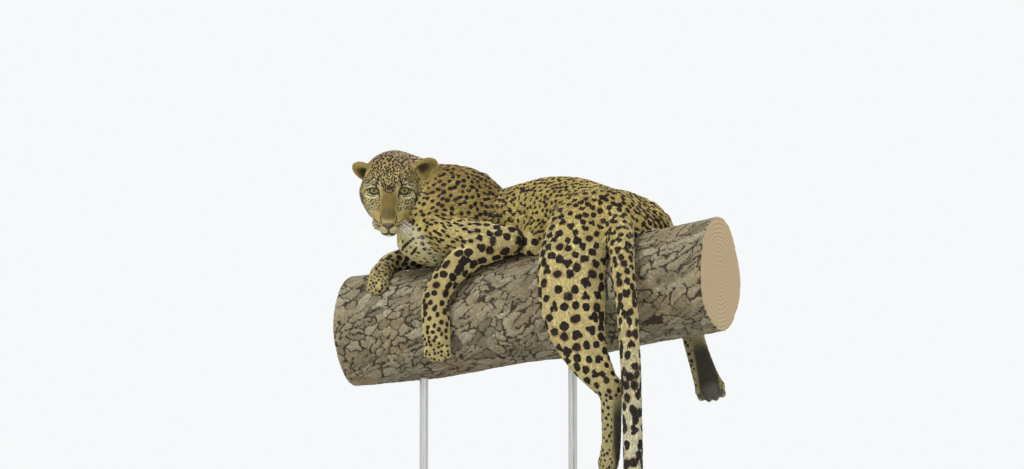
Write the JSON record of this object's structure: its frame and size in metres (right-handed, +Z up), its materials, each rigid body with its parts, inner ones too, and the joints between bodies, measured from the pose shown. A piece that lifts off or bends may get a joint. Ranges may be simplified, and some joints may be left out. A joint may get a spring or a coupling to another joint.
{
  "type": "leopard",
  "caption": "Leopard resting astride a cut length of tree bough, legs and tail hanging on both sides, on a plain display stand.",
  "frame": {"origin": "middle of the underside of the stand's base", "axes": "+Z up; the bough runs along X with the animal's head at its -X end; the side from which the picture is taken is -Y, with the camera turned 25 degrees to +X"},
  "size_m": [0.99, 0.4636, 0.999],
  "materials": {
    "body_coat": "short golden-tawny fur with black rosettes",
    "limb_coat": "short cream fur with black spots",
    "eye": "wet, clear over a pale green-gold iris",
    "bark": "rough flaking grey-brown bark, sawn ends",
    "base_wood": "dark stained, satin",
    "rod_steel": "brushed"
  },
  "bodies": {
    "root": {"chest": "body_coat", "ear_left": "body_coat", "ear_right": "body_coat", "eye_left": "eye", "eye_right": "eye", "forearm_left": "limb_coat", "forearm_right": "limb_coat", "forepaw_left": "limb_coat", "forepaw_right": "limb_coat", "head": "body_coat", "hind_foot_left": "limb_coat", "hind_foot_right": "limb_coat", "hips": "body_coat", "midriff": "body_coat", "neck": "body_coat", "perch_branch": "bark", "shank_left": "limb_coat", "shank_right": "limb_coat", "stand_base": "base_wood", "stand_rod_1": "rod_steel", "stand_rod_2": "rod_steel", "tail_1": "body_coat", "tail_2": "body_coat", "tail_3": "body_coat", "tail_4": "body_coat", "tail_5": "body_coat", "thigh_left": "limb_coat", "thigh_right": "limb_coat", "upper_arm_left": "limb_coat", "upper_arm_right": "limb_coat"}
  },
  "joints": []
}
